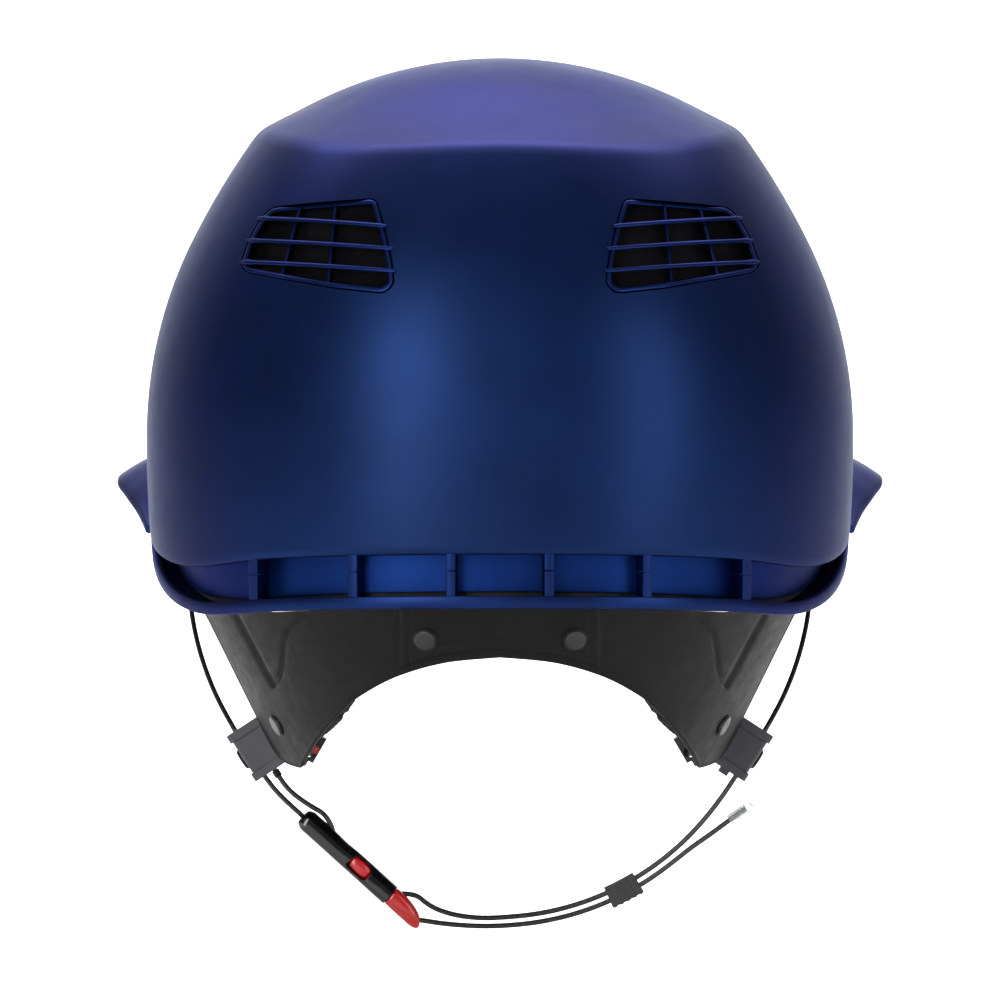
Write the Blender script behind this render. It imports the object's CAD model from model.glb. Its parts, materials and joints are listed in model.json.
import json
import math
import bmesh
import bpy
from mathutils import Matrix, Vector

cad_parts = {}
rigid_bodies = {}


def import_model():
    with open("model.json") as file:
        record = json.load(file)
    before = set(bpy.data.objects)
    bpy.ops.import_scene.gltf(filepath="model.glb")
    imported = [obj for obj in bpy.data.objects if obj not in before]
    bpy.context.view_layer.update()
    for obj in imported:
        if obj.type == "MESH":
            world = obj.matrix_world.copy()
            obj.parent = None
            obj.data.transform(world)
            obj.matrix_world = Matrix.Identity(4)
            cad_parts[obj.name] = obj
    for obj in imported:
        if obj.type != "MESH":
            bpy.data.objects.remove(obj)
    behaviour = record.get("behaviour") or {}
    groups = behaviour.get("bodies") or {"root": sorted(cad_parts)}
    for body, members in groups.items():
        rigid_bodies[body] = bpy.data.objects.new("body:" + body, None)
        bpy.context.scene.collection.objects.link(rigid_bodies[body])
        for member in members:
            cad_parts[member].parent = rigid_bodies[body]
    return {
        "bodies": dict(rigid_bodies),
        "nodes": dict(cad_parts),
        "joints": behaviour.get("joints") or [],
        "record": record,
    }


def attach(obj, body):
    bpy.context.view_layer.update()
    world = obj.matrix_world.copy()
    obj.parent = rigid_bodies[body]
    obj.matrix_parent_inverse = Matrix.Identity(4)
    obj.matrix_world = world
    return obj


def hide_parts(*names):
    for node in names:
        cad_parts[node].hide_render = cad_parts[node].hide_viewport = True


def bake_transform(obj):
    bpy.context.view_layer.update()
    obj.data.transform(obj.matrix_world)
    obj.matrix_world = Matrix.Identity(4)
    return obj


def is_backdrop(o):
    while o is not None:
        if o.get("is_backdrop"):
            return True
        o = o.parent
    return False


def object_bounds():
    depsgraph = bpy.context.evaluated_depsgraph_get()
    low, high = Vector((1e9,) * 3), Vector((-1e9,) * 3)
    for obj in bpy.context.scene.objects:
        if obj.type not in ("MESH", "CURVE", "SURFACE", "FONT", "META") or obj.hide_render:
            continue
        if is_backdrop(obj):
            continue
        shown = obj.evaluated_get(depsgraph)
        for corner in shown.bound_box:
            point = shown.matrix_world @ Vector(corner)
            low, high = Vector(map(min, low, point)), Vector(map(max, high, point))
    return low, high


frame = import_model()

CAD_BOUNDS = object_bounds()
MM = 0.001

# ---- outer form, the same sizes as the frame -------------------------------------------------------
HALF_WIDTH, HALF_REAR, HALF_FRONT = 114.0, 138.0, 141.0
WIDEST_Z = 21.0
PLAN_POWER = 2.25
SIDE_R, SIDE_KNEE_DEG, SIDE_UPPER_R = 140.0, 26.6, 257.0
REAR_R, FRONT_R, SKIRT_R = 138.0, 150.0, 420.0
CROWN_Z, CROWN_R, CROWN_SLOPE_DEG, CROWN_STRETCH = 143.0, 133.7, 27.5, 0.942
SHELL_T = 2.2
# Side views of the lower edges, as (Y, Z) points from the back to the front.
RIM_LINE = [
    (-150, -31.3), (-115, -33.2), (-80, -34.8), (-38, -25.5), (0, -10.5), (40, -1.0), (95, 7.5), (150, 12.0),
]
SHELL_LINE = [
    (-150, -15.3), (-115, -17.6), (-80, -20.6), (-38, -15.6), (0, -5.6), (40, 3.1), (95, 11.6), (150, 16.1),
]
RIB_X, RIB_W, RIB_T = (14.6, 43.9, 74.6), 2.9, 6.8
POST_FOOT, TAB_BOTTOM, TAB_TOP = 1.5, 11.2, 17.9  # above the rim line


def arc_drop(radius, rise):
    return radius - math.sqrt(radius**2 - rise**2)


def half_sizes(z, t):
    """Half width, rear length and front length of the body at height z, t inside the outer face."""
    rise = z - WIDEST_Z
    if rise <= 0:
        drop = t + arc_drop(SKIRT_R, rise)
        return HALF_WIDTH - drop, HALF_REAR - drop, HALF_FRONT - drop
    knee = math.radians(SIDE_KNEE_DEG)
    if rise <= (SIDE_R - t) * math.sin(knee):
        half_width = HALF_WIDTH - SIDE_R + math.sqrt((SIDE_R - t) ** 2 - rise**2)
    else:
        centre = HALF_WIDTH - SIDE_R + (SIDE_R - SIDE_UPPER_R) * math.cos(knee)
        lift = (SIDE_R - SIDE_UPPER_R) * math.sin(knee)
        half_width = centre + math.sqrt((SIDE_UPPER_R - t) ** 2 - (rise - lift) ** 2)
    rear = HALF_REAR - REAR_R + math.sqrt((REAR_R - t) ** 2 - rise**2)
    front = HALF_FRONT - FRONT_R + math.sqrt((FRONT_R - t) ** 2 - rise**2)
    return half_width, rear, front


def crown_height(x, y, t):
    """Height of the crown cap: an arc that runs out into a straight slope."""
    reach = math.hypot(x, y * CROWN_STRETCH)
    slope = math.radians(CROWN_SLOPE_DEG)
    turn = CROWN_R * math.sin(slope)
    if reach <= turn:
        drop = arc_drop(CROWN_R, reach)
    else:
        drop = arc_drop(CROWN_R, turn) + (reach - turn) * math.tan(slope)
    return CROWN_Z - drop - t * 1.06


def smooth_line(points):
    """A smooth function through (a, b) points."""
    slopes = []
    for i in range(len(points)):
        a0, b0 = points[max(i - 1, 0)]
        a1, b1 = points[min(i + 1, len(points) - 1)]
        slopes.append((b1 - b0) / (a1 - a0))

    def value(a):
        a = min(max(a, points[0][0]), points[-1][0])
        i = max(k for k in range(len(points) - 1) if points[k][0] <= a)
        (a0, b0), (a1, b1) = points[i], points[i + 1]
        width = a1 - a0
        f = (a - a0) / width
        low = (2 * f**3 - 3 * f**2 + 1) * b0 + (f**3 - 2 * f**2 + f) * width * slopes[i]
        return low + (3 * f**2 - 2 * f**3) * b1 + (f**3 - f**2) * width * slopes[i + 1]

    return value


rim_z = smooth_line(RIM_LINE)
shell_z = smooth_line(SHELL_LINE)


def plan(angle, sizes):
    """Point on an oval with these half sizes; angle 0 is +X and 90 degrees is +Y."""
    half_width, rear, front = sizes
    c, s = math.cos(angle), math.sin(angle)
    length = front if s > 0 else rear
    x = half_width * math.copysign(abs(c) ** (2 / PLAN_POWER), c)
    return x, length * math.copysign(abs(s) ** (2 / PLAN_POWER), s)


def oval_share(offset, reach):
    """Share of an oval's other half size that is left at this offset from its middle."""
    return (1 - min(1.0, abs(offset) / reach) ** PLAN_POWER) ** (1 / PLAN_POWER)


def body_point(angle, z, t):
    x, y = plan(angle, half_sizes(z, t))
    return x, y, z


def edge_height(angle, t, line, lift):
    """Height at which the body at this angle meets a line drawn in the side view."""
    z = 0.0
    for _ in range(8):
        z = line(body_point(angle, z, t)[1]) + lift
    return z


# ---- mesh helpers ----------------------------------------------------------------------------------
def linked(name, data):
    obj = bpy.data.objects.new(name, data)
    bpy.context.scene.collection.objects.link(obj)
    return obj


def mesh_from(name, part):
    """Mesh from (verts, faces) in millimetres."""
    verts, faces = part
    mesh = bpy.data.meshes.new(name)
    mesh.from_pydata([(x * MM, y * MM, z * MM) for x, y, z in verts], [], faces)
    return mesh


def new_piece(name, part, material, body, replaces, sharp_deg=38):
    """Mesh object from a part. Its shading is smooth, with hard edges where it turns sharply."""
    mesh = mesh_from(name, part)
    obj = linked(name, mesh)
    tidy_mesh(mesh, sharp_deg)
    mesh.materials.append(material)
    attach(obj, body)
    if replaces:
        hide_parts(*replaces)
    return obj


def tidy_mesh(mesh, sharp_deg):
    bm = bmesh.new()
    bm.from_mesh(mesh)
    bmesh.ops.remove_doubles(bm, verts=bm.verts, dist=1e-6)
    bmesh.ops.dissolve_degenerate(bm, edges=bm.edges, dist=1e-7)
    bmesh.ops.recalc_face_normals(bm, faces=bm.faces)
    limit = math.radians(sharp_deg)
    for face in bm.faces:
        face.smooth = True
    for edge in bm.edges:
        edge.smooth = len(edge.link_faces) == 2 and edge.calc_face_angle(0.0) < limit
    bm.to_mesh(mesh)
    bm.free()


def join_rings(rings, closed=True, capped=True, looped=False):
    """Faces between rings of equally many points; looped joins the last ring to the first."""
    count = len(rings[0])
    verts = [p for ring in rings for p in ring]
    faces = []
    last = len(rings) if looped else len(rings) - 1
    for i in range(last):
        a, b = i * count, ((i + 1) % len(rings)) * count
        for j in range(count if closed else count - 1):
            k = (j + 1) % count
            faces.append((a + j, a + k, b + k, b + j))
    if capped and not looped:
        faces.append(tuple(range(count - 1, -1, -1)))
        faces.append(tuple(range((len(rings) - 1) * count, len(rings) * count)))
    return verts, faces


def add_parts(*parts):
    """Joins (verts, faces) pairs into one."""
    verts, faces = [], []
    for v, f in parts:
        base = len(verts)
        verts += v
        faces += [tuple(i + base for i in face) for face in f]
    return verts, faces


def mirrored(part):
    verts, faces = part
    return [(-x, y, z) for x, y, z in verts], [tuple(reversed(f)) for f in faces]


def apply_modifiers(obj):
    bpy.context.view_layer.update()
    graph = bpy.context.evaluated_depsgraph_get()
    mesh = bpy.data.meshes.new_from_object(obj.evaluated_get(graph))
    obj.modifiers.clear()
    obj.data = mesh


def cut(obj, parts, sharp_deg=38):
    """Cuts closed parts out of obj."""
    cutters = []
    for part in parts:
        mesh = mesh_from("cutter", part)
        tidy_mesh(mesh, 30)
        cutters.append(linked("cutter", mesh))
        step = obj.modifiers.new("cut", "BOOLEAN")
        step.operation = "DIFFERENCE"
        step.solver = "EXACT"
        step.object = cutters[-1]
    apply_modifiers(obj)
    tidy_mesh(obj.data, sharp_deg)
    for cutter in cutters:
        bpy.data.objects.remove(cutter)


def prism(outline, y_from, y_to):
    """Closed prism on an (X, Z) outline."""
    return join_rings([[(x, y, z) for x, z in outline] for y in (y_from, y_to)])


def framed(line, side):
    """Each point of a line with two directions across it, carried along without twist."""
    for i, here in enumerate(line):
        ahead = (line[min(i + 1, len(line) - 1)] - line[max(i - 1, 0)]).normalized()
        side = (side - ahead * side.dot(ahead)).normalized()
        yield here, side, ahead.cross(side)


def lathe(profile, centre, axis, count=40):
    """Round part: (radius, height) points turned about an axis, from the bottom up."""
    axis = Vector(axis).normalized()
    side = axis.orthogonal().normalized()
    other = axis.cross(side)
    rings = []
    for radius, height in profile:
        ring = []
        for i in range(count):
            angle = 2 * math.pi * i / count
            out = side * math.cos(angle) + other * math.sin(angle)
            ring.append(tuple(Vector(centre) + axis * height + out * max(radius, 1e-3)))
        rings.append(ring)
    return join_rings(rings)


# ---- materials -------------------------------------------------------------------------------------
def texture(tree, kind, scale, detail=2.0, vector=None):
    """Texture node in the object's own space; scale counts per metre."""
    nodes, links = tree.nodes, tree.links
    if vector is None:
        where = nodes.get("where")
        if where is None:
            where = nodes.new("ShaderNodeTexCoord")
            where.name = "where"
        vector = where.outputs["Object"]
    node = nodes.new("ShaderNodeTex" + kind)
    links.new(vector, node.inputs["Vector"])
    node.inputs["Scale"].default_value = scale
    if "Detail" in node.inputs:
        node.inputs["Detail"].default_value = detail
    return node


def value_of(node):
    for name in ("Fac", "Distance"):
        if name in node.outputs:
            return node.outputs[name]
    return node.outputs[0]


def ranged(tree, output, low, high, out_low, out_high):
    node = tree.nodes.new("ShaderNodeMapRange")
    tree.links.new(output, node.inputs["Value"])
    for name, value in (("From Min", low), ("From Max", high), ("To Min", out_low), ("To Max", out_high)):
        node.inputs[name].default_value = value
    return node.outputs["Result"]


def blended(tree, share, dark, light):
    node = tree.nodes.new("ShaderNodeMix")
    node.data_type = "RGBA"
    tree.links.new(share, node.inputs["Factor"])
    for index, colour in ((6, dark), (7, light)):
        if hasattr(colour, "links"):
            tree.links.new(colour, node.inputs[index])
        else:
            node.inputs[index].default_value = (*colour, 1.0)
    return node.outputs[2]


def combined(tree, operation, one, two):
    node = tree.nodes.new("ShaderNodeMath")
    node.operation = operation
    tree.links.new(one, node.inputs[0])
    tree.links.new(two, node.inputs[1])
    return node.outputs[0]


def bumped(tree, height, strength, depth_mm, below=None):
    node = tree.nodes.new("ShaderNodeBump")
    node.inputs["Strength"].default_value = strength
    node.inputs["Distance"].default_value = depth_mm * MM
    tree.links.new(height, node.inputs["Height"])
    if below is not None:
        tree.links.new(below, node.inputs["Normal"])
    return node.outputs["Normal"]


def material(name, dark, light, rough, tone=45, grain=("Noise", 1500), bump=(0.25, 0.08), fleck=None,
             edge_mm=0.0, weave=None, **sockets):
    """Finish whose colour drifts between two tones and whose roughness drifts too, over a raised grain.

    fleck is (scale, strength) of a second, finer grain. weave is threads per metre of a two-way cloth.
    edge_mm softens hard edges.
    """
    mat = bpy.data.materials.new(name)
    mat.use_nodes = True
    tree = mat.node_tree
    shader = tree.nodes["Principled BSDF"]
    drift = value_of(texture(tree, "Noise", tone, 3.0))
    colour = blended(tree, ranged(tree, drift, 0.35, 0.65, 0.0, 1.0), dark, light)
    kind, scale = grain
    height = value_of(texture(tree, kind, scale, 3.0))
    if weave:
        height = woven(tree, weave)
        shade = ranged(tree, height, 0.0, 1.0, 0.0, 1.0)
        colour = blended(tree, shade, tuple(v * 0.45 for v in dark), colour)
    tree.links.new(colour, shader.inputs["Base Color"])
    wander = value_of(texture(tree, "Noise", tone * 4, 4.0))
    tree.links.new(ranged(tree, wander, 0.3, 0.7, *rough), shader.inputs["Roughness"])
    normal = None
    if edge_mm:
        soft = tree.nodes.new("ShaderNodeBevel")
        soft.samples = 4
        soft.inputs["Radius"].default_value = edge_mm * MM
        normal = soft.outputs["Normal"]
    normal = bumped(tree, height, *bump, normal)
    if fleck:
        fine = value_of(texture(tree, "Noise", fleck[0], 2.0))
        normal = bumped(tree, fine, fleck[1], 0.03, normal)
    tree.links.new(normal, shader.inputs["Normal"])
    for socket, value in sockets.items():
        shader.inputs[socket.replace("_", " ")].default_value = value
    return mat


def woven(tree, threads):
    """Height of a plain weave that doesn't need UVs: crossed waves along X, Y and Z."""
    heights = []
    for direction in ("X", "Y", "Z"):
        node = texture(tree, "Wave", threads, 1.0)
        node.bands_direction = direction
        node.inputs["Distortion"].default_value = 0.6
        heights.append(value_of(node))
    total = combined(tree, "ADD", combined(tree, "ADD", heights[0], heights[1]), heights[2])
    return ranged(tree, total, 0.6, 2.4, 0.0, 1.0)


def satin(name, dark, light, rough, tone, grain=900, raised=0.06):
    """Metallic satin paint under a thin soft coat."""
    return material(name, dark, light, rough, tone, ("Noise", grain), (raised, 0.05), (5200, 0.12), 0.25,
                    Metallic=0.90, Specular_Tint=(0.30, 0.33, 0.42, 1), Coat_Weight=0.11, Coat_Roughness=0.40)


navy = satin("shell_navy", (0.0020, 0.0125, 0.060), (0.0030, 0.0175, 0.084), (0.40, 0.46), 18, raised=0.05)
navy_trim = satin("rim_navy", (0.0022, 0.0115, 0.068), (0.0030, 0.0160, 0.092), (0.36, 0.43), 30, raised=0.05)
grille_navy = satin("grille_navy", (0.0024, 0.0125, 0.074), (0.0034, 0.0170, 0.100), (0.36, 0.43), 40, 1200)
visor_navy = satin("visor_navy", (0.0022, 0.0110, 0.064), (0.0030, 0.0150, 0.086), (0.38, 0.45), 22)
inner_blue = material("inner_shell_blue", dark=(0.0030, 0.0150, 0.090), light=(0.0042, 0.0210, 0.120),
                      rough=(0.38, 0.46), tone=30, bump=(0.06, 0.05), grain=("Noise", 900), edge_mm=0.6,
                      Metallic=0.8, Specular_Tint=(0.2, 0.24, 0.34, 1))
mesh_black = material("vent_mesh", dark=(0.003, 0.003, 0.004), light=(0.008, 0.009, 0.012), rough=(0.6, 0.8),
                      weave=900, bump=(0.9, 0.4), Specular_IOR_Level=0.06)
foam = material("impact_foam", dark=(0.012, 0.012, 0.014), light=(0.024, 0.024, 0.027), rough=(0.72, 0.88),
                grain=("Voronoi", 380), bump=(0.7, 0.5), fleck=(2600, 0.2))
rubber = material("spacer_rubber", dark=(0.010, 0.010, 0.011), light=(0.017, 0.017, 0.018), rough=(0.7, 0.85))
pad_cloth = material("pad_fabric", dark=(0.010, 0.011, 0.014), light=(0.020, 0.021, 0.026), rough=(0.8, 0.95),
                     weave=520, bump=(0.8, 0.35), Sheen_Weight=0.35, Sheen_Roughness=0.4)
lining_cloth = material("lining_fabric", dark=(0.005, 0.005, 0.0056), light=(0.010, 0.010, 0.011),
                        rough=(0.8, 0.95), weave=640, bump=(0.8, 0.3), Sheen_Weight=0.12, Sheen_Roughness=0.4)
leather = material("harness_leather", dark=(0.0028, 0.0028, 0.0030), light=(0.0048, 0.0048, 0.0052),
                   rough=(0.52, 0.64), tone=60, grain=("Voronoi", 1400), bump=(0.45, 0.12), fleck=(5200, 0.3),
                   Specular_IOR_Level=0.16)
black_plastic = material("stud_black", dark=(0.006, 0.006, 0.007), light=(0.011, 0.011, 0.012),
                         rough=(0.28, 0.40), bump=(0.06, 0.05), edge_mm=0.25)
guide_gray = material("guide_gray", dark=(0.028, 0.029, 0.036), light=(0.040, 0.041, 0.050), rough=(0.42, 0.55),
                      bump=(0.18, 0.08), edge_mm=0.3)
rivet_black = material("rivet_black", dark=(0.003, 0.003, 0.0034), light=(0.005, 0.005, 0.0056),
                       rough=(0.34, 0.46), bump=(0.08, 0.05), edge_mm=0.2, Specular_IOR_Level=0.22)
clip_black = material("clip_black", dark=(0.005, 0.005, 0.006), light=(0.010, 0.010, 0.011), rough=(0.35, 0.5),
                      bump=(0.15, 0.08), edge_mm=0.25)
gloss_black = material("buckle_black", dark=(0.0022, 0.0022, 0.0026), light=(0.0035, 0.0035, 0.004),
                       rough=(0.10, 0.17), bump=(0.015, 0.03), grain=("Noise", 500), edge_mm=0.3,
                       Coat_Weight=0.3, Coat_Roughness=0.06)
lock_black = material("lock_black", dark=(0.0035, 0.0035, 0.004), light=(0.007, 0.007, 0.008),
                      rough=(0.16, 0.26), bump=(0.05, 0.05), edge_mm=0.3, Coat_Weight=0.3, Coat_Roughness=0.15)
red = material("red_plastic", dark=(0.36, 0.006, 0.007), light=(0.46, 0.010, 0.010), rough=(0.20, 0.30),
               bump=(0.03, 0.04), grain=("Noise", 700), edge_mm=0.35, Coat_Weight=0.25, Coat_Roughness=0.12)
clear = material("clear_tip", dark=(0.80, 0.82, 0.84), light=(0.90, 0.91, 0.92), rough=(0.08, 0.16),
                 bump=(0.05, 0.05), Transmission_Weight=0.85, IOR=1.49, edge_mm=0.3)


def cord_material():
    """Waxed black braid: crossed helices in the tube's UVs, U round it and V metres along it."""
    mat = bpy.data.materials.new("cord_black")
    mat.use_nodes = True
    tree = mat.node_tree
    shader = tree.nodes["Principled BSDF"]
    uv = tree.nodes.new("ShaderNodeUVMap")
    uv.uv_map = "UVMap"
    heights = []
    for turn in (28.0, -28.0):
        place = tree.nodes.new("ShaderNodeMapping")
        place.inputs["Rotation"].default_value = (0, 0, math.radians(turn))
        place.inputs["Scale"].default_value = (1.0, 260.0, 1.0)
        tree.links.new(uv.outputs["UV"], place.inputs["Vector"])
        wave = texture(tree, "Wave", 0.62, 1.0, place.outputs["Vector"])
        wave.bands_direction = "Y"
        heights.append(value_of(wave))
    height = combined(tree, "MAXIMUM", *heights)
    dark, light = (0.0020, 0.0020, 0.0024), (0.0045, 0.0045, 0.005)
    tree.links.new(blended(tree, height, dark, light), shader.inputs["Base Color"])
    fuzz = value_of(texture(tree, "Noise", 2600, 2.0))
    tree.links.new(ranged(tree, fuzz, 0.3, 0.7, 0.22, 0.36), shader.inputs["Roughness"])
    normal = bumped(tree, height, 0.4, 0.07)
    tree.links.new(bumped(tree, fuzz, 0.2, 0.04, normal), shader.inputs["Normal"])
    shader.inputs["Coat Weight"].default_value = 0.25
    shader.inputs["Coat Roughness"].default_value = 0.25
    return mat


cord_black = cord_material()


def dress(material, *names):
    """Gives kept CAD nodes their finish."""
    for name in names:
        for slot in bpy.data.objects[name].material_slots:
            slot.material = material


# ---- camera and cords ------------------------------------------------------------------------------
CAMERA_AT = (0.0, -1.5, 0.0)
LENS = 166.15
CORD_R = 0.85
HANG_Y = -14.0


def add_camera():
    data = bpy.data.cameras.new("camera")
    data.lens = LENS
    data.sensor_width = 36.0
    data.clip_start = 0.05
    camera = linked("camera", data)
    camera.location = CAMERA_AT
    camera.rotation_euler = (math.radians(90), 0, 0)
    bpy.context.scene.camera = camera


add_camera()

UPPER = [(103.6, 30, -8.9), (103.2, 26, -24), (100.8, 15, -42), (94.4, 0, -59.6), (85.4, HANG_Y, -74.4)]
LOWER_LEFT = [(-76, -88.8), (-70.6, -95.6), (-63.9, -101.4)]
LOOP_LEFT = [(-74.6, -83.7), (-72.5, -86.9), (-68.4, -93.2), (-62, -98), (-55, -101.8), (-53.7, -106.9)]
LOWER_RIGHT = [
    (76, -88.8), (71.6, -95.4), (66.48, -102.09), (60.49, -108.65), (54.56, -114.03), (48.17, -118.84),
    (41.37, -123.06), (34.22, -126.65), (26.78, -129.59), (19.1, -131.84), (11.25, -133.39), (7.27, -133.81),
]
FEED = [(7.27, -133.81), (2.3, -134.33), (-6.4, -134.7), (-15.2, -133.6), (-22.4, -131), (-27.9, -126.2),
        (-33.47, -126.96)]
RETURN = [(-27.46, -134.93), (-22, -135.9), (-14.2, -136.8), (-5.8, -137.25), (2.58, -137.01), (7.55, -136.49)]
TAIL = [
    (7.55, -136.49), (11.53, -136.07), (19.38, -134.54), (27.07, -132.34), (34.54, -129.46), (41.73, -125.95),
    (48.58, -121.82), (55.05, -117.1), (61.5, -111.9), (68.2, -107.3), (74.6, -102.5), (79.2, -99.3),
]


def hung(points):
    """(X, Z) points in the plane that the cord hangs in."""
    return [(x, HANG_Y, z) for x, z in points]


def route_points(points):
    """Points along the smooth line that a route guides, in metres."""
    curve = bpy.data.curves.new("route", "CURVE")
    curve.dimensions = "3D"
    curve.resolution_u = 14
    spline = curve.splines.new("NURBS")
    spline.points.add(len(points) - 1)
    for target, (x, y, z) in zip(spline.points, points):
        target.co = (x * MM, y * MM, z * MM, 1.0)
    spline.order_u = 3
    spline.use_endpoint_u = True
    holder = bpy.data.objects.new("route", curve)
    mesh = bpy.data.meshes.new_from_object(holder)
    line = [v.co.copy() for v in mesh.vertices]
    bpy.data.objects.remove(holder)
    bpy.data.meshes.remove(mesh)
    return line


def add_cord(name, points, nodes, body, length, sides=20, across=None):
    """Cord of the real diameter along a route; across is (body_b, start, end) where it crosses a joint."""
    line = route_points(points)
    rings = []
    for here, side, other in framed(line, Vector((0, 1, 0))):
        ring = []
        for j in range(sides):
            angle = 2 * math.pi * j / sides
            ring.append(here + (side * math.cos(angle) + other * math.sin(angle)) * CORD_R * MM)
        rings.append(ring)
    along = [0.0]
    for before, here in zip(line, line[1:]):
        along.append(along[-1] + (here - before).length)
    verts, faces = join_rings(rings)
    mesh = bpy.data.meshes.new(name)
    mesh.from_pydata(verts, [], faces)
    uv = mesh.uv_layers.new(name="UVMap")
    for face in mesh.polygons:
        face.use_smooth = len(face.vertices) == 4
        for corner, loop in enumerate(face.loop_indices):
            index = face.vertices[corner]
            turn = (index % sides) / sides
            if len(face.vertices) == 4 and turn == 0 and max(v % sides for v in face.vertices) == sides - 1:
                turn = 1.0
            uv.data[loop].uv = (turn, along[index // sides])
    mesh.materials.append(cord_black)
    obj = linked(name, mesh)
    if across:
        other_body, start, end = across
        [v * MM for v in start]
        [v * MM for v in end]
        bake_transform(obj)
    else:
        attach(obj, body)
    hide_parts(*nodes)
    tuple(line[0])


def add_cords():
    for side, name, lower, length in ((-1, "left", LOWER_LEFT, 116.0), (1, "right", LOWER_RIGHT, 184.0)):
        upper = [(side * x, y, z) for x, y, z in UPPER]
        swing = ("chin_strap", (side * 77.5, HANG_Y, -86.5), (side * 74.0, HANG_Y, -91.8))
        nodes = (f"cord_upper_{name}", f"cord_lower_{name}")
        add_cord(f"chin_cord_{name}", upper + hung(lower), nodes, "helmet", length, across=swing)
    swing = ("chin_strap", (-74.2, HANG_Y, -84.4), (-70.4, HANG_Y, -90.2))
    add_cord("loop_cord", hung(LOOP_LEFT), ("cord_loop_left",), "helmet", 30.5, across=swing)
    draw = ("buckle_plug", (3.0, HANG_Y, -134.2), (-24.0, HANG_Y, -131.6))
    add_cord("feed_cord", hung(FEED), ("cord_feed",), "chin_strap", 42.0, across=draw)
    add_cord("return_cord", hung(list(reversed(RETURN))), ("cord_return",), "chin_strap", 35.0, across=draw)
    add_cord("tail_cord", hung(TAIL), ("cord_tail",), "chin_strap", 81.5)


add_cords()


# ---- shells ----------------------------------------------------------------------------------------
def crease_height(angle, t):
    """Height at which the body's wall meets the crown cap."""
    low, high = 60.0, 135.0 - t
    for _ in range(30):
        middle = (low + high) / 2
        x, y, z = body_point(angle, middle, t)
        if z < crown_height(x, y, t):
            low = middle
        else:
            high = middle
    return low


def meridian(angle, t, low_z, wall_rows, crown_rows, fold):
    """Points up one side from low_z to the crown's centre, with the crease rounded over fold millimetres."""
    top = crease_height(angle, t)
    corner = Vector(body_point(angle, top, t))
    wall_h = top - fold - low_z
    wall = [Vector(body_point(angle, low_z + wall_h * i / wall_rows, t)) for i in range(wall_rows + 1)]
    inward = 1 - fold / math.hypot(corner.x, corner.y)
    shoulder = Vector((corner.x * inward, corner.y * inward, 0))
    shoulder.z = crown_height(shoulder.x, shoulder.y, t)
    bend = []
    for f in (0.17, 0.34, 0.5, 0.66, 0.83):
        bend.append(wall[-1] * (1 - f) ** 2 + corner * 2 * f * (1 - f) + shoulder * f * f)
    crown = []
    for i in range(crown_rows + 1):
        f = inward * (1 - i / crown_rows)
        x, y = corner.x * f, corner.y * f
        crown.append(Vector((x, y, crown_height(x, y, t))))
    return wall + bend + crown


def shell_mesh(t_out, t_in, line, columns, wall_rows, crown_rows, fold=3.2, edge=0.7):
    """Closed double-walled cap between two depths, with a rounded lower edge."""
    rings = []
    for i in range(columns):
        angle = 2 * math.pi * i / columns
        low = edge_height(angle, t_out, line, 0.0)
        outer = meridian(angle, t_out, low + edge, wall_rows, crown_rows, fold)
        inner = meridian(angle, t_in, low + edge, wall_rows // 2, crown_rows // 2, fold)
        lip = []
        for k in range(1, 6):
            turn = math.pi * k / 6
            depth = (t_in + t_out) / 2 - (t_in - t_out) / 2 * math.cos(turn)
            lip.append(Vector(body_point(angle, low + edge * (1 - math.sin(turn)), depth)))
        rings.append([tuple(p) for p in list(reversed(outer)) + lip + inner])
    return join_rings(rings, closed=False, looped=True, capped=False)


GRILLE_OUTLINE = [
    (37.4, 90.5), (69.6, 89.3), (72.8, 86.6), (76.6, 80.0), (79.2, 71.8), (76.8, 69.3), (65.3, 66.6),
    (49.4, 63.4), (34.6, 61.6), (31.6, 64.2), (32.4, 71.5), (34.6, 80.8),
]
FRONT_OUTLINE = [(-34, 70), (34, 70), (40, 88), (36, 92), (-36, 92), (-40, 88)]
GAP = 0.35


def moved_outline(points, amount):
    """Outline with each side moved inwards, or outwards if amount is negative."""
    count = len(points)
    area = sum(points[i][0] * points[(i + 1) % count][1] - points[(i + 1) % count][0] * points[i][1]
               for i in range(count))
    turn = 1 if area > 0 else -1
    moved = []
    for i in range(count):
        here = Vector(points[i])
        one = (here - Vector(points[i - 1])).normalized()
        two = (Vector(points[(i + 1) % count]) - here).normalized()
        n1 = Vector((-one.y, one.x)) * turn
        middle = (n1 + Vector((-two.y, two.x)) * turn).normalized()
        moved.append(tuple(here + middle * (amount / max(0.5, middle.dot(n1)))))
    return moved


def rounded_outline(points, radius, per=4):
    """Outline with each corner rounded by an arc-like bend that starts up to radius from it."""
    count = len(points)
    done = []
    for i in range(count):
        here = Vector(points[i])
        before, after = Vector(points[i - 1]), Vector(points[(i + 1) % count])
        reach = min(radius, 0.45 * (here - before).length, 0.45 * (after - here).length)
        start = here + (before - here).normalized() * reach
        end = here + (after - here).normalized() * reach
        for k in range(per + 1):
            f = k / per
            done.append(tuple(start * (1 - f) ** 2 + here * 2 * f * (1 - f) + end * f * f))
    return done


def surface_y(x, z, t, rear=True):
    """Y on the body at this x and z, t inside the outer face."""
    half_width, back, front = half_sizes(z, t)
    return (-back if rear else front) * oval_share(x, half_width)


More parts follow.
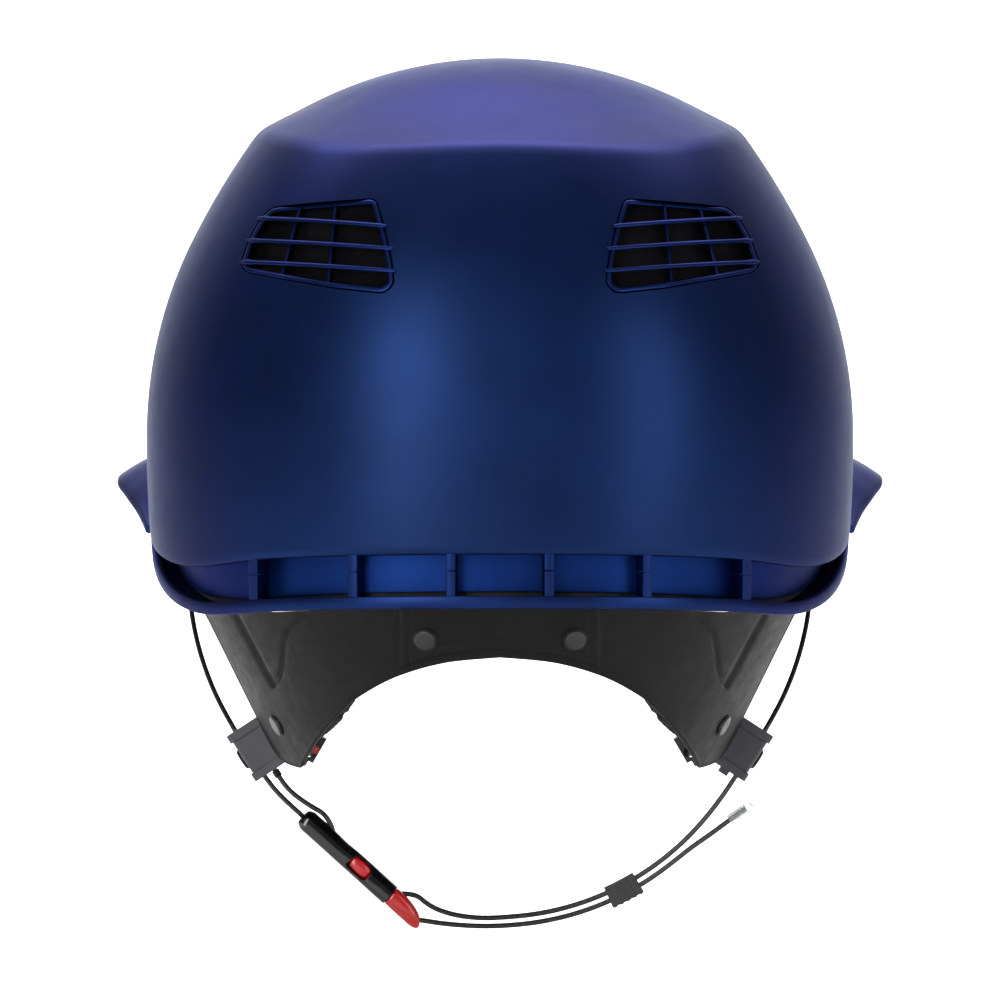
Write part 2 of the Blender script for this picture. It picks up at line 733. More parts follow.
def rib_part(x_mid, low, high, t_out):
    """Radial plate on the rear arc, x_mid across, between two heights above the rim line."""
    base = rim_z(surface_y(x_mid, -25, 0))
    lean = math.atan2(x_mid, 150)
    rings = []
    rows = 8
    half, r, t_in = RIB_W / 2, 0.45, RIB_T
    for i in range(rows + 1):
        z = base + low + (high - low) * i / rows
        ring = []
        for x, t in ((-half, t_in), (half, t_in), (half, t_out + r), (half - r * 0.3, t_out + r * 0.3),
                     (half - r, t_out), (-half + r, t_out), (-half + r * 0.3, t_out + r * 0.3),
                     (-half, t_out + r)):
            px = x_mid + x - (t - t_out) * math.sin(lean)
            ring.append((px, surface_y(px, z, t), z))
        rings.append(ring)
    return join_rings(rings)


def add_outer_shell():
    part = shell_mesh(0.0, SHELL_T, shell_z, 260, 64, 34)
    obj = new_piece("shell_outer", part, navy, "helmet", ("outer_shell",))
    holes = []
    for outline in (GRILLE_OUTLINE, [(-x, z) for x, z in GRILLE_OUTLINE]):
        holes.append(prism(rounded_outline(moved_outline(outline, -GAP), 2.4), -170, -40))
    holes.append(prism(rounded_outline(FRONT_OUTLINE, 3.0), 60, 180))
    cut(obj, holes)
    tabs = [rib_part(side * x, TAB_BOTTOM + 0.25, TAB_TOP, 0.25) for x in RIB_X for side in (-1, 1)]
    new_piece("shell_tabs", add_parts(*tabs), navy_trim, "helmet", ())


# Section of the rim, as (depth, height above the rim line): the outer band and the flange inside it.
RIM_PROFILE = [
    (0.4, 0), (2.2, 0), (2.55, 0.12), (2.7, 0.5), (2.9, 1.0), (15.7, 1.0), (16, 1.2), (16, 1.7), (15.7, 2),
    (3.2, 2), (2.75, 2.2), (2.6, 2.6), (2.6, 3.4), (2.45, 3.68), (2.1, 3.8), (0.6, 3.8), (0.2, 3.66), (0, 3.3), (0, 0.5),
    (0.12, 0.14),
]


def add_rim():
    """Flange and band swept round the rim line, with the six posts."""
    columns = 300
    rings = []
    for i in range(columns):
        angle = 2 * math.pi * i / columns
        rings.append([body_point(angle, edge_height(angle, t, rim_z, height), t) for t, height in RIM_PROFILE])
    posts = [rib_part(side * x, POST_FOOT, TAB_BOTTOM - 0.2, 0.35) for x in RIB_X for side in (-1, 1)]
    part = add_parts(join_rings(rings, looped=True), *posts)
    new_piece("rim_ring", part, navy_trim, "helmet", ("rim",))


# ---- grilles ---------------------------------------------------------------------------------------
def frame_part(outline, wide, t_out, t_in, rear, radius=2.2):
    """Frame of rounded section that follows an outline laid on the body."""
    outer = rounded_outline(outline, radius)
    section = [(0.0, t_in), (0.0, t_out + 0.5), (0.16, t_out + 0.15), (0.5, t_out), (wide - 0.5, t_out + 0.05),
               (wide - 0.14, t_out + 0.2), (wide, t_out + 0.55), (wide, t_in)]
    loops = [rounded_outline(moved_outline(outline, inset), max(0.6, radius - inset)) for inset, _ in section]
    rings = []
    for i in range(len(outer)):
        rings.append([(loop[i][0], surface_y(loop[i][0], loop[i][1], t, rear), loop[i][1])
                      for loop, (_, t) in zip(loops, section)])
    return join_rings(rings, looped=True)


def strip_part(start, end, height, t_out, t_in, rear, knob=0.0, rows=22):
    """Bar between two (X, Z) ends on the body, with a rounded outer face; its far end may swell by knob."""
    (x0, z0), (x1, z1) = start, end
    along = Vector((x1 - x0, z1 - z0)).normalized()
    normal = Vector((-along.y, along.x))
    rings = []
    for i in range(rows + 1):
        f = i / rows
        swell = 1 + knob * max(0.0, 1 - abs(f - 0.955) / 0.045) if knob else 1.0
        taper = 1.0 if 0 < i < rows else 0.72
        x, z = x0 + (x1 - x0) * f, z0 + (z1 - z0) * f
        ring = []
        for side, t in ((-1, t_in), (-1, t_out + 0.5), (-0.8, t_out + 0.16), (-0.4, t_out), (0.4, t_out),
                        (0.8, t_out + 0.16), (1, t_out + 0.5), (1, t_in)):
            off = side * height / 2 * swell * taper
            px, pz = x + normal.x * off, z + normal.y * off
            ring.append((px, surface_y(px, pz, t - (swell - 1) * 0.5, rear), pz))
        rings.append(ring)
    return join_rings(rings)


BARS = (((34.0, 82.0), (74.2, 86.3)), ((32.0, 75.0), (77.4, 79.4)), ((31.2, 68.2), (79.2, 72.7)))
UPRIGHTS = (((49.6, 89.6), (51.6, 64.6)), ((60.6, 89.4), (66.0, 67.6)))


def add_grilles():
    frame = frame_part(GRILLE_OUTLINE, 1.5, -0.2, 3.0, True)
    bars = [strip_part(a, b, 1.3, -0.8, 0.9, True, knob=0.35) for a, b in BARS]
    uprights = [strip_part(a, b, 1.0, 0.7, 3.0, True) for a, b in UPRIGHTS]
    right = add_parts(frame, *bars, *uprights)
    for side, part in (("right", right), ("left", mirrored(right))):
        new_piece(f"grille_{side}", part, grille_navy, "helmet", (f"rear_grille_{side}",), 50)
    frame = frame_part(FRONT_OUTLINE, 2.0, -0.2, 3.0, False, 3.0)
    bars = [strip_part((x, 71.0), (x * 1.12, 91.0), 1.6, 0.2, 2.6, False) for x in (-30, -18, -6, 6, 18, 30)]
    cross = strip_part((-37.0, 81.0), (37.0, 81.0), 1.6, -0.4, 1.4, False)
    front = add_parts(frame, *bars, cross)
    new_piece("grille_front", front, grille_navy, "helmet", ("front_grille",), 50)


# ---- visor -----------------------------------------------------------------------------------------
VISOR = [
    ((0, -8), (115.4, 1, -8.4)), ((18, 2.5), (119.6, 18, -2.6)), ((34, 11.5), (124.6, 34, 2.8)),
    ((50, 17.2), (128.8, 52, 7.2)), ((72, 20.5), (127.4, 80, 9.4)), ((94, 22.4), (117, 112, 10.2)),
    ((114, 23.6), (95, 146, 10.6)), ((130, 24.4), (58, 177, 11.0)), ((141, 25), (0, 191, 11.4)),
]
VISOR_T, VISOR_CAMBER = 2.6, 1.6


def curve_through(points, per):
    """Points along a smooth curve through the given ones, per steps to a span."""
    done = []
    for i in range(len(points) - 1):
        p0, p1 = Vector(points[max(i - 1, 0)]), Vector(points[i])
        p2, p3 = Vector(points[i + 1]), Vector(points[min(i + 2, len(points) - 1)])
        for k in range(per):
            f = k / per
            done.append((p1 * 2 + (p2 - p0) * f + (p0 * 2 - p1 * 5 + p2 * 4 - p3) * f * f
                         + (p1 * 3 - p0 - p2 * 3 + p3) * f**3) * 0.5)
    done.append(Vector(points[-1]))
    return done


def add_visor():
    """Brim swept through its stations: upper face, rolled edge, lower face."""
    right = []
    for (y, z), edge in VISOR:
        half_width, _, front = half_sizes(z, 0.8)
        y = min(y, front)
        right.append((Vector((half_width * oval_share(y, front), y, z)), Vector(edge)))
    roots = curve_through([p for p, _ in right], 10)
    edges = curve_through([p for _, p in right], 10)
    pairs = list(zip(roots, edges))
    pairs += [(Vector((-a.x, a.y, a.z)), Vector((-b.x, b.y, b.z))) for a, b in reversed(pairs[:-1])]
    rings = []
    for root, edge in pairs:
        span = edge - root
        reach = max(span.length, 1.0)
        out = span / reach
        lift = VISOR_CAMBER * min(1.0, max(root.y, 0.0) / 60)
        top, under = [], []
        for k in range(15):
            f = k / 14 * max(0.0, 1 - 1.2 / reach)
            p = root + span * f + Vector((0, 0, lift * 4 * f * (1 - f)))
            top.append(p)
            under.append(p - Vector((0, 0, VISOR_T)))
        tip = top[-1] + out * 0.9
        nose = [tip + Vector((0, 0, -0.35)), tip + out * 0.25 + Vector((0, 0, -VISOR_T / 2)),
                tip + Vector((0, 0, 0.35 - VISOR_T))]
        rings.append([tuple(p) for p in top + nose + list(reversed(under))])
    new_piece("brim", join_rings(rings), visor_navy, "helmet", ("visor",), 50)


# ---- neck harness ----------------------------------------------------------------------------------
HARNESS_HALF, HARNESS_REAR = 116.6, 132.0
HARNESS_SIDE_TAPER, HARNESS_REAR_TAPER = 0.535, 0.45
HARNESS_T = 3.0
ARCH = [(0, -46.6), (16.5, -48.3), (31, -52.6), (41.8, -58.4), (47.5, -63), (54, -70.2), (59, -77.4), (62, -84),
        (64, -100)]
FLAP_FRONT = [(-34, 20), (-39, -20), (-40, -36), (-34, -54), (-27, -70), (-23, -76), (-25.5, -80), (-35, -82.4),
              (-60, -83.6)]
# The crease pressed into each ear flap, from its outer end down to its foot and up again, as (X, Z).
CREASE_OUTER = [(82.2, -35.6), (77.2, -44.8), (73.4, -52.4), (70.6, -57.2)]
CREASE_INNER = [
    (70.6, -57.2), (68.2, -55.4), (67.0, -50.6), (66.3, -44.8), (64.9, -40.0), (62.8, -37.4), (59.4, -34.6),
]
FINE_TO = -62.0  # the creases end above this height
LEATHER_TOP_LIFT, LEATHER_LOW_Z = 0.85, -104.0
# The leather's free edge leaves the arch and the flap's front here and runs along the flap's foot between.
ARCH_END_Z, FLAP_END_Y = -82.6, -52.4
# The lining's roll shows past the arch's edge between these heights; the second number is how fast it fades.
ROLL_FROM, ROLL_TO = (-56, 10), (-71.5, 4.5)


def harness_sizes(z, t):
    rear = HARNESS_REAR + HARNESS_REAR_TAPER * z
    return HARNESS_HALF + HARNESS_SIDE_TAPER * z - t, rear - t, 0.8 * rear - t


def harness_point(angle, z, t):
    x, y = plan(angle, harness_sizes(z, t))
    return x, y, z


def harness_y(x, z, t):
    half_width, rear, _ = harness_sizes(z, t)
    return -rear * oval_share(x, half_width)


def harness_normal(x, z):
    """Outward normal of the leather's outer face behind the ear."""
    step = 0.5
    here = Vector((x, harness_y(x, z, 0), z))
    across = Vector((x + step, harness_y(x + step, z, 0), z)) - here
    up = Vector((x, harness_y(x, z + step, 0), z + step)) - here
    return across.cross(up).normalized()


def away(x, z, line):
    """Distance from (x, z) to a line of points."""
    best = 1e9
    here = Vector((x, z))
    for a, b in zip(line, line[1:]):
        a, b = Vector(a), Vector(b)
        f = min(1.0, max(0.0, (here - a).dot(b - a) / (b - a).length_squared))
        best = min(best, (here - a - (b - a) * f).length)
    return best


def ridge(distance, half):
    """Bell-shaped share that falls off with distance."""
    return math.exp(-((distance / half) ** 2))


def pressed(x, z):
    """Depth of the flap's crease."""
    x = abs(x)
    if not 52 < x < 90 or z < -64:
        return 0.0
    depth = 0.0
    for line, half, deep in ((CREASE_OUTER, 1.05, 1.2), (CREASE_INNER, 0.7, 0.7)):
        d = away(x, z, line)
        if d < 2.6 * half:
            depth = max(depth, deep * ridge(d, half))
    return depth


def harness_columns():
    """Plan angles round the back, closer together where the creases are."""
    angles = [math.radians(172)]
    while angles[-1] < math.radians(368):
        x = abs(harness_sizes(-45, 0)[0] * math.cos(angles[-1]))
        fine = 54 < x < 84 and math.sin(angles[-1]) < 0
        angles.append(angles[-1] + math.radians(0.32 if fine else 0.9))
    return angles


def leather_part(fine_rows=48, rows=26, inner_rows=8):
    """Band of the tapering tube, from the rim line down to its low end, with the creases pressed in."""
    loops = []
    low = LEATHER_LOW_Z
    for angle in harness_columns():
        top = rim_z(harness_point(angle, -30, 0)[1]) + LEATHER_TOP_LIFT
        heights = [top + (FINE_TO - top) * i / fine_rows for i in range(fine_rows)]
        heights += [FINE_TO + (low - FINE_TO) * i / rows for i in range(rows + 1)]
        loop = []
        for z in heights:
            x, y, _ = harness_point(angle, z, 0.0)
            loop.append(harness_point(angle, z, pressed(x, z) if y < 0 else 0.0))
        for i in range(inner_rows + 1):
            loop.append(harness_point(angle, low + (top - low) * i / inner_rows, HARNESS_T))
        loops.append(loop)
    return join_rings(loops)


def eased(value):
    """Rises smoothly from 0 to 1 as value does."""
    value = min(1.0, max(0.0, value))
    return value * value * (3 - 2 * value)


def arch_prism(grow=0.0, roll=0.0):
    """The arch's opening, made larger by grow and, between the arch's shoulder and the clip, less by roll."""
    def moved(x, z):
        (start, rise), (end, fall) = ROLL_FROM, ROLL_TO
        shift = grow - roll * eased((start - z) / rise) * (1 - eased((end - z) / fall))
        return (x + (shift if x else 0), z + (0 if x else grow))

    right = [tuple(p) for p in curve_through([moved(*p) for p in ARCH], 8)]
    outline = [(-x, z) for x, z in reversed(right[1:])] + right
    outline += [(outline[-1][0], -140), (outline[0][0], -140)]
    return prism(outline, -200, 30)


def flap_prism(shift=0.0):
    """Everything in front of and below the flap's side outline."""
    line = [(y - shift, z) for y, z in curve_through(FLAP_FRONT, 8)]
    outline = line + [(line[-1][0], -140), (220, -140), (220, line[0][1])]
    return join_rings([[(x, y, z) for y, z in outline] for x in (-220, 220)])


def tube_part(line, radius, flat, sides=12):
    """Flattened tube along millimetre points."""
    rings = []
    for here, side, other in framed(line, Vector((0, 0, 1))):
        ring = []
        for j in range(sides):
            angle = 2 * math.pi * j / sides
            ring.append(tuple(here + (side * math.cos(angle) + other * flat * math.sin(angle)) * radius))
        rings.append(ring)
    return join_rings(rings)


def harness_edge():
    """Points along the right half of the leather's free edge, from the middle of the arch round the flap."""
    line = []
    for x, z in curve_through(ARCH, 12):
        if z > ARCH_END_Z:
            line.append(Vector((x + 0.2, harness_y(x, z, 0.9), z)))
    for y, z in reversed(curve_through(FLAP_FRONT, 12)):
        if y > FLAP_END_Y and z < rim_z(y) + 1:
            half_width, rear, _ = harness_sizes(z, 0.9)
            line.append(Vector((half_width * oval_share(y, rear), y - 0.2, z)))
    return line


def add_harness():
    obj = new_piece("harness_leather", leather_part(), leather, "helmet", ("neck_harness",))
    cut(obj, [arch_prism(), flap_prism()], 45)
    right = harness_edge()
    whole = [Vector((-p.x, p.y, p.z)) for p in reversed(right[1:])] + right
    new_piece("harness_binding", tube_part(whole, 1.0, 0.9), leather, "helmet", (), 60)


NAPE_TAB_HALF = 30.5
SEAM_INSET, SEAM_HALF = 3.2, 0.5


def arch_z(x):
    return smooth_line(ARCH)(min(abs(x), 63.9))


def add_nape_tab():
    """Second ply over the middle of the nape, with a sewn channel inside its edge."""
    rings = []
    columns, rows = 96, 30
    for i in range(columns + 1):
        x = NAPE_TAB_HALF * (2 * i / columns - 1)
        side_lift = min(1.0, (NAPE_TAB_HALF - abs(x)) / 1.2)
        top = rim_z(harness_y(x, -34, 0)) + 0.8
        low = arch_z(x) + 1.4
        loop = []
        for k in range(rows + 1):
            z = top + (low - top) * k / rows
            edge = min(side_lift, (z - low) / 1.2, 1.0)
            from_seam = NAPE_TAB_HALF - SEAM_INSET - abs(x)
            sewn = ridge(from_seam, SEAM_HALF)
            if from_seam >= 0:
                sewn += ridge(z - low - SEAM_INSET, SEAM_HALF)
            t = -0.9 * math.sqrt(max(0.0, 1 - (1 - max(edge, 0)) ** 2)) + 0.35 * min(1.0, sewn)
            loop.append((x, harness_y(x, z, min(t, -0.1)), z))
        for k in range(rows, -1, -1):
            z = top + (low - top) * k / rows
            loop.append((x, harness_y(x, z, -0.05), z))
        rings.append(loop)
    new_piece("nape_ply", join_rings(rings), leather, "helmet", ("nape_tab",), 50)


STUD_CAP = [(0, 0.95), (1.8, 0.93), (2.8, 0.84), (3.15, 0.66), (3.22, 0.1), (3.46, 0.1), (3.5, 0.45),
            (3.62, 0.45), (3.7, 0.3), (3.7, 0.0), (1.7, 0.0)]


STUD_FOOT = [(0, -1.1), (3.3, -1.1), (3.6, -0.9), (3.6, -0.1), (1.7, 0)]
# Each pair of studs: its name, X, Z, how far the cap stands off the leather, and how deep the foot lies.
STUDS = (("nape_stud", 22.4, -41.6, 1.05, 3.6), ("ear_stud", 70.0, -70.6, 0.1, 6.8))


def add_studs():
    for name, x, z, stand, reach in STUDS:
        profile = [(r, h - reach) for r, h in STUD_FOOT] + [(r, stand + h) for r, h in reversed(STUD_CAP)]
        right = lathe(profile, (x, harness_y(x, z, 0), z), harness_normal(x, z))
        for side, part in (("right", right), ("left", mirrored(right))):
            node = f"{name}_{side}"
            new_piece(node + "_cap", part, black_plastic, "helmet", (node,), 45)


# ---- padded fabric ---------------------------------------------------------------------------------
PAD_OUT, PAD_IN = 31.2, 35.0
PAD_COLUMNS = dict(brow=40, nape=36, side=30)
CROWN_PAD_HALF = (44, 56)


def inflate(obj, voxel_mm, cap_mm, pressure=4.0, frames=20):
    """Swells a closed pad with Blender's cloth; no point moves more than cap_mm. One subdivision follows."""
    scene = bpy.context.scene
    remesh = obj.modifiers.new("remesh", "REMESH")
    remesh.mode = "VOXEL"
    remesh.voxel_size = voxel_mm * MM
    even = obj.modifiers.new("even", "SMOOTH")
    even.factor = 0.5
    even.iterations = 4
    apply_modifiers(obj)
    rest = [v.co.copy() for v in obj.data.vertices]
    cloth = obj.modifiers.new("cloth", "CLOTH")
    cloth.settings.quality = 5
    cloth.settings.mass = 0.3
    cloth.settings.use_pressure = True
    cloth.settings.uniform_pressure_force = pressure
    cloth.settings.effector_weights.gravity = 0.0
    cloth.point_cache.frame_start = 1
    cloth.point_cache.frame_end = frames
    for frame_number in range(1, frames + 1):
        scene.frame_set(frame_number)
    apply_modifiers(obj)
    scene.frame_set(1)
    for vertex, start in zip(obj.data.vertices, rest):
        move = vertex.co - start
        if move.length > cap_mm * MM:
            vertex.co = start + move.normalized() * cap_mm * MM
    smooth = obj.modifiers.new("smooth", "SUBSURF")
    smooth.levels = 1
    apply_modifiers(obj)
    for face in obj.data.polygons:
        face.use_smooth = True


def slab_part(columns, rows, place, t_out, t_in):
    """Closed slab over a (u, v) square, rounded off at its sides; place(u, v, t) gives a point."""
    rings = []
    for i in range(columns + 1):
        u = i / columns
        loop = []
        for t, order in ((t_out, range(rows + 1)), (t_in, range(rows, -1, -1))):
            for k in order:
                v = k / rows
                inset = min(u, 1 - u, v, 1 - v) * 8
                soft = math.sqrt(max(0.0, 1 - max(0.0, 1 - inset) ** 2)) * 0.75 + 0.25
                middle = (t_out + t_in) / 2
                loop.append(place(u, v, middle + (t - middle) * soft))
        rings.append(loop)
    return join_rings(rings)


def press_seams(obj, depth_at):
    """Sinks a pad's surface along its seams; depth_at(point in mm) gives the depth in mm."""
    normals = [v.normal.copy() for v in obj.data.vertices]
    for vertex, normal in zip(obj.data.vertices, normals):
        vertex.co -= normal * depth_at(vertex.co / MM) * MM


def add_pad(name, node, part, seams):
    obj = new_piece(name, part, pad_cloth, "helmet", (node,))
    inflate(obj, 2.2, 0.7)
    press_seams(obj, seams)


def mirror_mesh(mesh):
    bm = bmesh.new()
    bm.from_mesh(mesh)
    for vertex in bm.verts:
        vertex.co.x = -vertex.co.x
    bmesh.ops.reverse_faces(bm, faces=bm.faces)
    bm.to_mesh(mesh)
    bm.free()


def add_twin(source, name, node):
    """Mirror image of a finished pad on the other side."""
    mesh = bpy.data.objects[source].data.copy()
    mirror_mesh(mesh)
    twin = linked(name, mesh)
    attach(twin, "helmet")
    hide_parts(node)


def crossed_seams(across_z, along, axis):
    """Two sewn channels that cross: one at a height, one at a place along an axis."""
    return lambda p: 0.8 * ridge(p.z - across_z, 0.9) + 0.8 * ridge(p[axis] - along, 0.9)


def on_body(middle_deg, half_deg, low, high):
    """Places a slab on the body's wall, round a plan angle and between two heights."""
    def place(u, v, t):
        angle = math.radians(middle_deg + half_deg * (2 * u - 1))
        return body_point(angle, low + (high - low) * v, t)

    return place


def add_pads():
    brow = slab_part(PAD_COLUMNS["brow"], 12, on_body(90, 28, 15, 37), PAD_OUT, PAD_IN)
    add_pad("brow_cushion", "brow_pad", brow, crossed_seams(26, 0, 0))
    nape = slab_part(PAD_COLUMNS["nape"], 12, on_body(270, 25, -8, 16), PAD_OUT, PAD_IN)
    add_pad("nape_cushion", "nape_pad", nape, crossed_seams(4, 0, 0))
    side = slab_part(PAD_COLUMNS["side"], 12, on_body(181, 21, 5, 27), PAD_OUT, PAD_IN)
    add_pad("side_cushion_left", "side_pad_left", side, crossed_seams(16, -2, 1))
    add_twin("side_cushion_left", "side_cushion_right", "side_pad_right")
    add_pad("crown_cushion", "crown_pad", crown_pad_part(), quilting)


def crown_pad_part(columns=48, rows=12):
    """Oval pad under the crown, thinner at its edge."""
    rings = []
    for i in range(columns):
        angle = 2 * math.pi * i / columns
        outer, inner = [], []
        for k in range(rows + 1):
            reach = k / rows * 0.999 + 0.001
            x, y = CROWN_PAD_HALF[0] * reach * math.cos(angle), CROWN_PAD_HALF[1] * reach * math.sin(angle)
            thinner = 1.5 * max(0, k / rows - 0.86) / 0.14
            outer.append((x, y, crown_height(x, y, PAD_OUT + thinner)))
            inner.append((x, y, crown_height(x, y, PAD_IN - thinner)))
        rings.append(outer + list(reversed(inner)))
    return join_rings(rings, looped=True)


def quilting(p):
    """Grid of sewn channels across the crown pad."""
    return 0.8 * ridge((p.x + 12) % 24 - 12, 0.9) + 0.8 * ridge((p.y + 14) % 28 - 14, 0.9)


def add_linings():
    """Soft inner faces of the two ear flaps, which show as a roll inside the arch's edge."""
    def place(u, v, t):
        angle = math.radians(299 + 50 * u)
        return harness_point(angle, -39 - 43.5 * v, t)

    part = slab_part(50, 44, place, HARNESS_T + 0.35, HARNESS_T + 2.9)
    obj = new_piece("flap_cushion_right", part, lining_cloth, "helmet", ("flap_lining_right",))
    cut(obj, [arch_prism(0.6, 4.2), flap_prism(2.0)])
    inflate(obj, 1.1, 0.5)
    press_seams(obj, lambda p: 0.6 * ridge(p.z + 66, 0.8))
    add_twin("flap_cushion_right", "flap_cushion_left", "flap_lining_left")


# ---- buckle ----------------------------------------------------------------------------------------
MOUTH = Vector((-35.3, HANG_Y, -127.2))
BUCKLE_DEG = 42.0
HOUSING_L = 38.5
# Housing section, as (across, depth) of its corners: a lower facet, a broad middle facet and a steep upper one.
HOUSING_SECTION = [(-3.6, 3.0), (-3.6, -1.7), (-3.1, -2.9), (-1.7, -3.85), (-0.2, -4.0), (1.1, -3.75),
                   (2.5, -2.7), (3.4, -1.2), (3.6, 0.2), (3.6, 3.0), (2.7, 4.0), (-2.7, 4.0)]
HOUSING_NOSE = 3.4
# The window over the latch, as (along, across), and the socket that the plug runs in.
WINDOW = [(-17.4, -1.9), (-16.4, -2.4), (-10.4, -2.4), (-9.3, -1.6), (-9.2, 1.4), (-10.6, 2.7), (-15.0, 2.9),
          (-17.0, 1.8)]
SOCKET = ((-19.5, 2), (-3.1, 3.1), (-2.7, 2.7))
# Upper and lower outline of the claw, as (along, across).
PLUG_TOP = [(0.1, 3.3), (2.0, 3.35), (4.6, 3.2), (7.0, 2.9), (9.2, 2.35), (11.2, 1.5), (12.6, 0.5),
            (13.3, -0.6), (13.6, -1.5)]
PLUG_FOOT = [(0.1, -3.2), (2.0, -3.25), (4.6, -3.25), (7.0, -3.25), (9.2, -3.25), (11.2, -3.2), (12.6, -2.85),
             (13.3, -2.35), (13.6, -1.9)]
PLUG_L, PLUG_DEPTH = 13.5, 3.3
STEM = ((-5.0, 0.3), (-2.8, 2.8), (-2.5, 2.5))
RAIL = ((-17.0, -4.0), (1.5, 2.9), (-2.5, 2.5))
LATCH_ARM = ((-16.8, -5.2), (-1.75, -0.45), (-1.4, 1.4))
BUTTON_AT, BUTTON_HALF, BUTTON_DEPTH = (-13.3, -1.9, 0.2), (3.8, 2.15), 1.15


def in_buckle(along, depth, across):
    """Point in the buckle's own frame: along its length out of the mouth, forwards, and across it upwards."""
    lean = math.radians(BUCKLE_DEG)
    out = Vector((math.cos(lean), 0, -math.sin(lean)))
    up = Vector((math.sin(lean), 0, math.cos(lean)))
    return tuple(MOUTH + out * along + Vector((0, 1, 0)) * depth + up * across)


def buckle_block(size, soft):
    """Block in the buckle's frame, with its edges softened; size is its extent along, in depth and across."""
    (x0, x1), (y0, y1), (z0, z1) = size
    outline = [(z0 + soft, y0), (z1 - soft, y0), (z1, y0 + soft), (z1, y1 - soft), (z1 - soft, y1),
               (z0 + soft, y1), (z0, y1 - soft), (z0, y0 + soft)]
    y_mid, z_mid = (y0 + y1) / 2, (z0 + z1) / 2
    rings = []
    for x, share in ((x0, 0.86), (x0 + soft * 0.5, 1.0), (x1 - soft * 0.5, 1.0), (x1, 0.86)):
        rings.append([in_buckle(x, y_mid + (y - y_mid) * share, z_mid + (z - z_mid) * share)
                      for z, y in outline])
    return join_rings(rings)


def add_housing(rows=60):
    """Glossy faceted housing with a round nose and a slight waist at the window."""
    rings = []
    for i in range(rows + 1):
        x = -HOUSING_L * (1 - i / rows)
        nose = math.sqrt(max(0.0, 1 - max(0.0, 1 - (x + HOUSING_L) / HOUSING_NOSE) ** 2)) * 0.8 + 0.2
        narrower = 1 - 0.06 * ridge(x + 21.5, 3.4)
        waist = 0.35 * ridge(x + 13.0, 5.0)
        ring = []
        for across, depth in HOUSING_SECTION:
            ring.append(in_buckle(x, depth * nose + (waist if depth < -1.0 else 0.0),
                                  across * nose * (narrower if across > 0 else 1)))
        rings.append(ring)
    obj = new_piece("housing_shell", join_rings(rings), gloss_black, "chin_strap", ("buckle_housing",),
                    24)
    window = join_rings([[in_buckle(x, depth, across) for x, across in WINDOW] for depth in (-6, 0)])
    cut(obj, [buckle_block(SOCKET, 1.3), window], 24)
    bevel = obj.modifiers.new("bevel", "BEVEL")
    bevel.width = 0.22 * MM
    bevel.segments = 2
    bevel.limit_method = "ANGLE"
    bevel.angle_limit = math.radians(35)


def rounded_sections(stations, depth, power=2.6, sides=28):
    """Rings of rounded section through stations of (along, low across, high across, depth share)."""
    rings = []
    for x, low, high, share in stations:
        middle, half = (low + high) / 2, (high - low) / 2
        ring = []
        for j in range(sides):
            angle = 2 * math.pi * j / sides
            c, s = math.cos(angle), math.sin(angle)
            across = middle + half * math.copysign(abs(c) ** (2 / power), c)
            deep = depth * share * math.copysign(abs(s) ** (2 / power), s)
            ring.append(in_buckle(x, deep, across))
        rings.append(ring)
    return join_rings(rings)


def add_plug(rows=40):
    """Claw-shaped grip outside the mouth, with the stem and rail that run in the socket."""
    top, foot = smooth_line(PLUG_TOP), smooth_line(PLUG_FOOT)
    stations = [(0.1, -2.9, 3.0, 0.9)]
    for i in range(1, rows):
        x = 0.1 + PLUG_L * math.sin(math.pi / 2 * i / rows)
        share = math.sqrt(max(0.05, 1 - max(0.0, (x - 5.0) / 9.2) ** 2))
        stations.append((x, foot(x), top(x), share))
    part = add_parts(rounded_sections(stations, PLUG_DEPTH), buckle_block(STEM, 1.1), buckle_block(RAIL, 0.35))
    new_piece("plug_claw", part, red, "buckle_plug", ("buckle_plug",), 55)


def add_latch(rows=20):
    """Sprung arm with the domed button that shows in the window."""
    x_mid, y_mid, z_mid = BUTTON_AT
    stations = []
    for i in range(rows + 1):
        turn = math.pi * i / rows
        half = max(BUTTON_HALF[1] * math.sin(turn) ** 0.5, 0.05)
        x = x_mid - BUTTON_HALF[0] * math.cos(turn)
        stations.append((x, z_mid - half, z_mid + half, max(math.sin(turn) ** 0.6, 0.05)))
    verts, faces = rounded_sections(stations, BUTTON_DEPTH, 2.2)
    button = ([(x, y + y_mid, z) for x, y, z in verts], faces)
    part = add_parts(buckle_block(LATCH_ARM, 0.3), button)
    new_piece("latch_button", part, red, "latch_tongue", ("latch_tongue",), 55)


# ---- light and floor -------------------------------------------------------------------------------
def add_light(name, at, target, width, height, power):
    data = bpy.data.lights.new(name, "AREA")
    data.shape = "RECTANGLE"
    data.size, data.size_y = width, height
    data.energy = power
    obj = linked(name, data)
    obj.location = at
    obj.rotation_euler = (Vector(target) - Vector(at)).to_track_quat("-Z", "Y").to_euler()


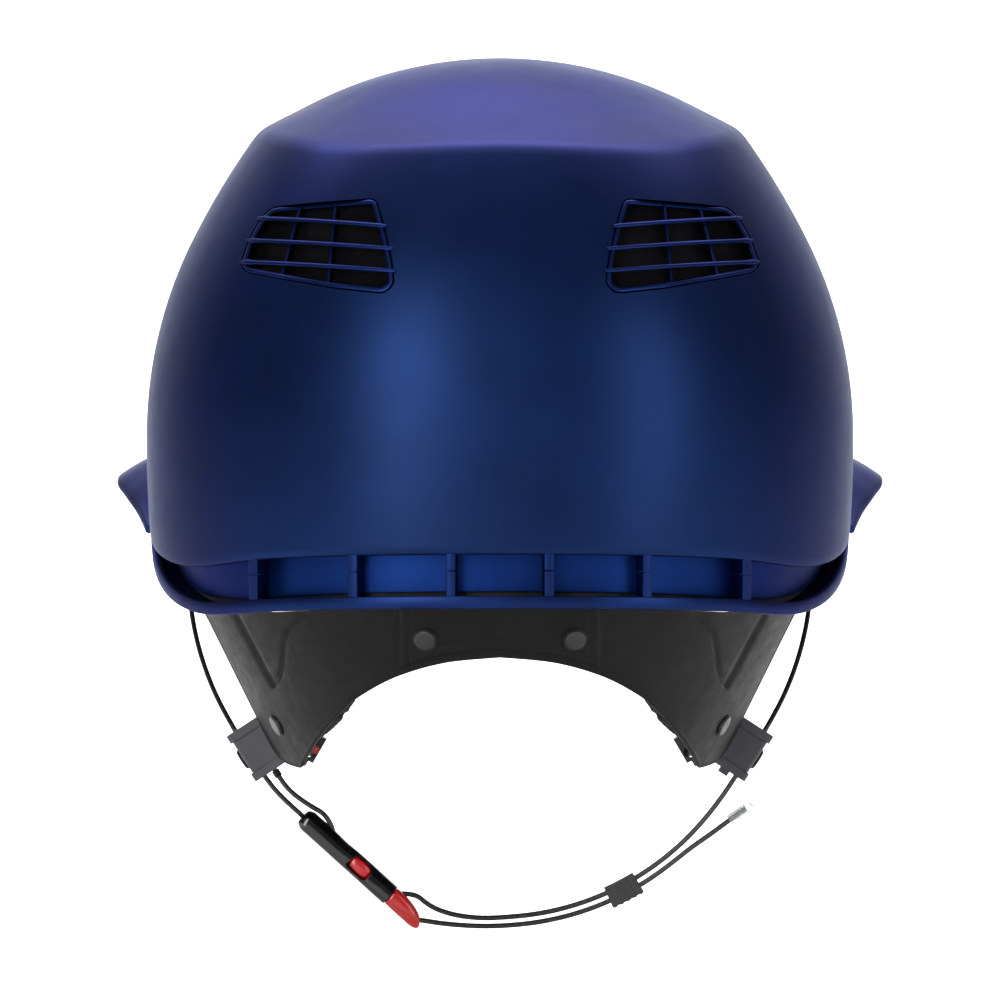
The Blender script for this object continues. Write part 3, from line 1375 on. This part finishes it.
def add_stage():
    """Pale floor that sweeps up into the backdrop, below the hanging chin cord."""
    floor_z, back_y, bend = -0.175, 2.6, 0.6
    profile = [(-6.0, floor_z), (back_y - bend, floor_z)]
    for i in range(1, 17):
        turn = math.pi / 2 * i / 16
        profile.append((back_y - bend + bend * math.sin(turn), floor_z + bend * (1 - math.cos(turn))))
    profile.append((back_y, 4.0))
    verts = [(x, y, z) for x in (-5.0, 5.0) for y, z in profile]
    count = len(profile)
    faces = [(i, i + 1, count + i + 1, count + i) for i in range(count - 1)]
    mesh = bpy.data.meshes.new("floor")
    mesh.from_pydata(verts, [], faces)
    for face in mesh.polygons:
        face.use_smooth = True
    pale = material("floor_pale", dark=(0.86, 0.86, 0.86), light=(0.90, 0.90, 0.90), rough=(0.85, 0.95), tone=3,
                    grain=("Noise", 200), bump=(0.02, 0.05))
    mesh.materials.append(pale)
    linked("floor", mesh)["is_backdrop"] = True


def add_world():
    world = bpy.data.worlds.new("studio")
    world.use_nodes = True
    back = world.node_tree.nodes["Background"]
    back.inputs["Color"].default_value = (1.0, 1.0, 1.0, 1.0)
    back.inputs["Strength"].default_value = 0.20
    bpy.context.scene.world = world
    bpy.context.scene.view_settings.view_transform = "Standard"


add_world()
add_stage()
add_light("key_left", (-0.72, -1.55, 0.30), (0, -0.05, 0.02), 0.55, 1.5, 22)
add_light("fill_right", (1.20, -1.20, 0.20), (0, -0.05, 0.02), 0.50, 1.3, 10)
add_light("top", (-0.2, -0.2, 1.5), (0, 0, 0), 1.0, 0.9, 1.6)
add_light("backdrop_wash", (0.0, 1.15, 2.2), (0, 2.3, 0.1), 3.2, 1.4, 190)

# ---- the helmet ------------------------------------------------------------------------------------
add_outer_shell()
add_rim()
add_grilles()
add_visor()
add_harness()
add_nape_tab()
add_studs()
add_pads()
add_linings()
add_housing()
add_plug()
add_latch()

dress(inner_blue, "inner_shell")
dress(foam, "foam_liner")
dress(rubber, "shell_spacers")
dress(mesh_black, "vent_mesh_left", "vent_mesh_right", "front_vent_mesh")
dress(guide_gray, "cord_guide_left", "cord_guide_right")
dress(rivet_black, "guide_rivet_left", "guide_rivet_right", "cord_anchor_left", "cord_anchor_right",
      "cord_ferrule")
dress(clip_black, "flap_clip_left", "flap_clip_right")
dress(lock_black, "cord_lock")
dress(red, "clip_insert")
dress(clear, "cord_tip")

for low, high in (CAD_BOUNDS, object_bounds()):
    json.dumps([list(low), list(high)]) + "\n"
